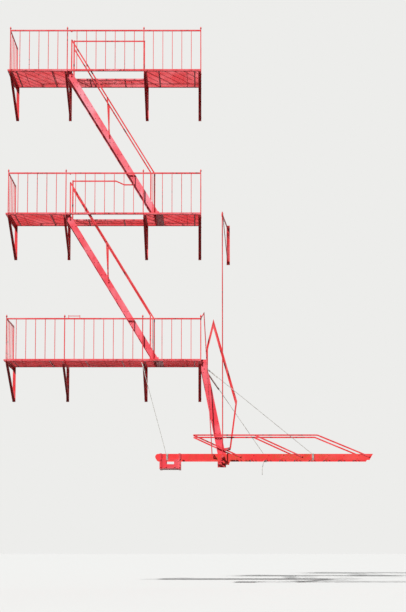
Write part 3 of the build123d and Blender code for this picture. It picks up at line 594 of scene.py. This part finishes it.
def beside(start, end, from_share, to_share, offset):
    """The stretch of a straight stay between two shares of its length, moved aside by offset."""
    start, end = np.asarray(start, float), np.asarray(end, float)
    return straight(start + (end - start) * from_share + offset,
                    start + (end - start) * to_share + offset)


def squared(wave):
    """A sine or cosine pushed towards a square wave: its sign times the fourth root of its size."""
    return np.sign(wave) * np.abs(wave) ** 0.25


beam_half_thick = 0.005


def beam_wraps(x, y, turns=3):
    """A few turns of rope round a flat beam: a squared circle in y and z, the beam's half sizes and the
    rope's radius from its middle, that moves along x by a little more than the rope's width each turn."""
    clear, advance = 0.001, 2.3 * rope_radius
    angle = np.linspace(-pi / 2, -pi / 2 + 2 * pi * turns, 90 * turns)
    across_y, along_z = beam_half_thick + rope_radius + clear, beam_half + rope_radius + clear
    return np.stack([x + advance * (angle + pi / 2) / (2 * pi), y + across_y * squared(np.cos(angle)),
                     along_z * squared(np.sin(angle))], axis=-1)


def grips(start, end, distances, offset):
    """Rope grips on a doubled end: a squeezed band at each distance from the start, with its nut."""
    start, end = np.asarray(start, float), np.asarray(end, float)
    way = (end - start) / np.linalg.norm(end - start)
    places = start + way * np.asarray(distances)[:, None] + np.asarray(offset) / 2
    band, nut_rise = [(0.0115, -0.010), (0.0140, -0.007), (0.0140, 0.007), (0.0115, 0.010)], 0.011
    nut_flats = 0.011
    return [turned(band, places, way, 14)] + bolts(places + (0, 0, nut_rise), up_way, nut_flats)


strand_zinc = weathered_strands("weathered_zinc_on_wire_rope")
grip_zinc = weathered_strands("dull_zinc_on_grips")
serving_cord = weathered_strands("bleached_cord_serving", pale="E6DAD4", grey="B9A29A", metal=0.0,
                                 rough=0.8)


def hang_stay(name, start, end, beam_y, doubled, aside, loop_rise, grip_places, served=False):
    """One stay: the rope, its loop, its end doubled back over a share of its length, the cord served over
    that and the grips on it, fixed in place on no body, and the turns round the beam, which ride on the
    stair."""
    loop_right, loop_reach = 0.004, 0.013
    loop = ring(np.add(start, (loop_right, 0, loop_rise)), back_way, loop_reach, rope_radius)
    ropes = [rope(straight(start, end), back_way),
             rope(beside(start, end, 0.0, doubled, aside), back_way), loop]
    stay = make_piece(f"{name}_wire_stay", ropes, strand_zinc, None, smooth=True)
    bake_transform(stay)
    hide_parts(f"{name}_stay_cable")
    if served:
        from_share, short_of_end, cord_drop, cord_radius, cord_lay = 0.02, 0.01, 0.006, 0.017, 0.024
        wound = beside(start, end, from_share, doubled - short_of_end, (0, 0, -cord_drop))
        cord = rope(wound, back_way, radius=cord_radius, lay=cord_lay, strands=2)
        serving = make_piece(f"{name}_stay_serving", [cord], serving_cord, None,
                             smooth=True)
        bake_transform(serving)
    held = grips(start, end, grip_places, aside)
    clips = make_piece(f"{name}_stay_grips", held, grip_zinc, None)
    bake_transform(clips)
    wraps = rope(beam_wraps(end[0], beam_y), right_way)
    make_piece(f"{name}_stay_wraps", [wraps], strand_zinc, SWING, smooth=True)


clamp_half, stay_from_rail, stay_above_beam, rope_apart = 0.015, 0.028, 0.007, 0.0125
lug_out, lug_reach, lug_thick, lug_flats = 0.019, 0.012, 0.0045, 0.019
first_grip, grip_before_end, loop_lift = 0.06, 0.03, 0.006
near_beam_y, far_beam_y = near_rail_high.y + beam_half_thick, far_rail_low.y - beam_half_thick
for name, beam_y, way, doubled in (("near", near_beam_y, front_way, 0.10),
                                   ("far", far_beam_y, back_way, 0.215)):
    low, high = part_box(f"{name}_stay_cable")
    rail_y = high.y if name == "near" else low.y
    start = (low.x + clamp_half, rail_y + way[1] * stay_from_rail, high.z - clamp_half)
    end = (high.x - clamp_half, beam_y, low.z + stay_above_beam)
    doubled_length = doubled * np.linalg.norm(np.subtract(end, start))
    grip_places = (first_grip, doubled_length / 2, doubled_length - grip_before_end)
    hang_stay(name, start, end, beam_y, doubled, (0, 0, -rope_apart), -loop_lift, grip_places,
              served=name == "far")
    lug = bolts([(start[0], rail_y, start[2])], way, lug_flats)
    lug.append(ring((start[0], rail_y + way[1] * lug_out, start[2]), right_way, lug_reach, lug_thick))
    make_piece(f"{name}_stay_lug", lug, stringer_red["lower"], FIXED)

low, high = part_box("arm_stay_cable")
start = (low.x + clamp_half, low.y + rope_radius, high.z - clamp_half)
end = (high.x - clamp_half, low.y + rope_radius, low.z + stay_above_beam)
arm_doubled, arm_grips = 0.10, (0.05, 0.15)
hang_stay("arm", start, end, near_beam_y, arm_doubled, (rope_apart, 0, 0), loop_lift, arm_grips)
chord_side, pin_rise, arm_lug_flats = low.x + 2 * clamp_half, 0.008, 0.017
arm_pin, arm_ring_right, arm_ring_rise = [(0.006, 0), (0.006, 0.026)], 0.002, 0.012
arm_ring_place = (start[0] + arm_ring_right, start[1], start[2] + arm_ring_rise)
lug = [turned(arm_pin, (chord_side, start[1], start[2] + pin_rise), left_way, 12),
       ring(arm_ring_place, right_way, lug_reach, lug_thick)]
lug += bolts([(chord_side + angle_wall, start[1], start[2] + pin_rise)], right_way, arm_lug_flats)
make_piece("arm_stay_lug", lug, bracket_red, FIXED)


def loose_end(corners, steps=60):
    """A cubic Bezier curve: each of four corners weighs by its Bernstein share, from first to last."""
    share = np.linspace(0, 1, steps)[:, None]
    first, second, third, fourth = np.asarray(corners, float)[:, None]
    return ((1 - share) ** 3 * first + 3 * (1 - share) ** 2 * share * second
            + 3 * (1 - share) * share ** 2 * third + share ** 3 * fourth)


tail_left, tail_front = 0.010, 0.012
tail_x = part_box("far_stay_cable")[1].x - clamp_half - tail_left
tail_y = far_beam_y - tail_front
tail = loose_end([(tail_x, tail_y, -0.040), (tail_x - 0.020, tail_y - 0.004, -0.120),
                  (tail_x - 0.052, tail_y - 0.020, -0.240), (tail_x - 0.036, tail_y - 0.012, -0.346)])
make_piece("far_stay_tail", [rope(tail, back_way)], strand_zinc, SWING,
           smooth=True)


# Light, floor and camera
# A sun from the upper left, small enough for the balusters to draw stripes on the floors, and a soft sky.
# The pale floor lies just under the lowered stair. The camera is low, far in front, and looks up a little.
scene = bpy.context.scene
scene.view_settings.view_transform = "Standard"
scene.render.resolution_x, scene.render.resolution_y = 406, 612


def add_sun(name, strength, spread, way):
    """A sun lamp that shines along a way, its light spread over an angle in degrees."""
    lamp = bpy.data.lights.new(name, "SUN")
    lamp.energy, lamp.angle = strength, radians(spread)
    lamp_object = bpy.data.objects.new(name, lamp)
    scene.collection.objects.link(lamp_object)
    lamp_object.rotation_euler = Vector(way).to_track_quat("-Z", "Y").to_euler()


def seen_by(tree):
    """1 where the eye, a mirror or clear glass looks at a surface, 0 where only its light is gathered."""
    rays = add_node(tree, "ShaderNodeLightPath").outputs
    eye_or_mirror = add_node(tree, "ShaderNodeMath", {0: rays["Is Camera Ray"], 1: rays["Is Glossy Ray"]},
                             operation="MAXIMUM").outputs["Value"]
    return add_node(tree, "ShaderNodeMath", {0: eye_or_mirror, 1: rays["Is Transmission Ray"]},
                    operation="MAXIMUM").outputs["Value"]


add_sun("sun", strength=4.8, spread=2, way=(0.736, 1.03, -1.106))
add_sun("sky_fill", strength=0.5, spread=60, way=(-0.45, -1.0, -0.75))

world = bpy.data.worlds.new("pale_studio")
scene.world = world
world.use_nodes = True
tree = world.node_tree
tree.nodes.clear()
seen = add_node(tree, "ShaderNodeBackground", {"Color": "EDEDEB", "Strength": 1.0})
lit = add_node(tree, "ShaderNodeBackground", {"Color": "F4F6F8", "Strength": 0.25})
both = add_node(tree, "ShaderNodeMixShader",
                {0: seen_by(tree), 1: lit.outputs["Background"], 2: seen.outputs["Background"]})
add_node(tree, "ShaderNodeOutputWorld", {"Surface": both.outputs["Shader"]})

floor_z, floor_half = -2.653, 60.0
mesh = bpy.data.meshes.new("pale_floor")
mesh.from_pydata([(-floor_half, -floor_half, floor_z), (floor_half, -floor_half, floor_z),
                  (floor_half, floor_half, floor_z), (-floor_half, floor_half, floor_z)], [],
                 [(0, 1, 2, 3)])
floor = bpy.data.objects.new("pale_floor", mesh)
scene.collection.objects.link(floor)
pale = bpy.data.materials.new("pale_plaster_floor")
pale.use_nodes = True
tree = pale.node_tree
shader = tree.nodes["Principled BSDF"]
plaster = add_node(tree, "ShaderNodeMix", {0: seen_by(tree), 6: "2C2C2C", 7: "D6D6D4"},
                   data_type="RGBA").outputs[2]
tree.links.new(plaster, shader.inputs["Base Color"])
shader.inputs["Roughness"].default_value = 1.0
shader.inputs["Specular IOR Level"].default_value = 0.0
mesh.materials.append(pale)

camera = bpy.data.cameras.new("camera")
camera.lens, camera.sensor_width, camera.shift_y = 74.47, 36, 0.2
camera.clip_end = 200
camera_object = bpy.data.objects.new("camera", camera)
camera_object.location = (-0.403, -27.1, -1.71)
camera_object.rotation_euler = (radians(95.04), 0, 0)
scene.collection.objects.link(camera_object)
scene.camera = camera_object
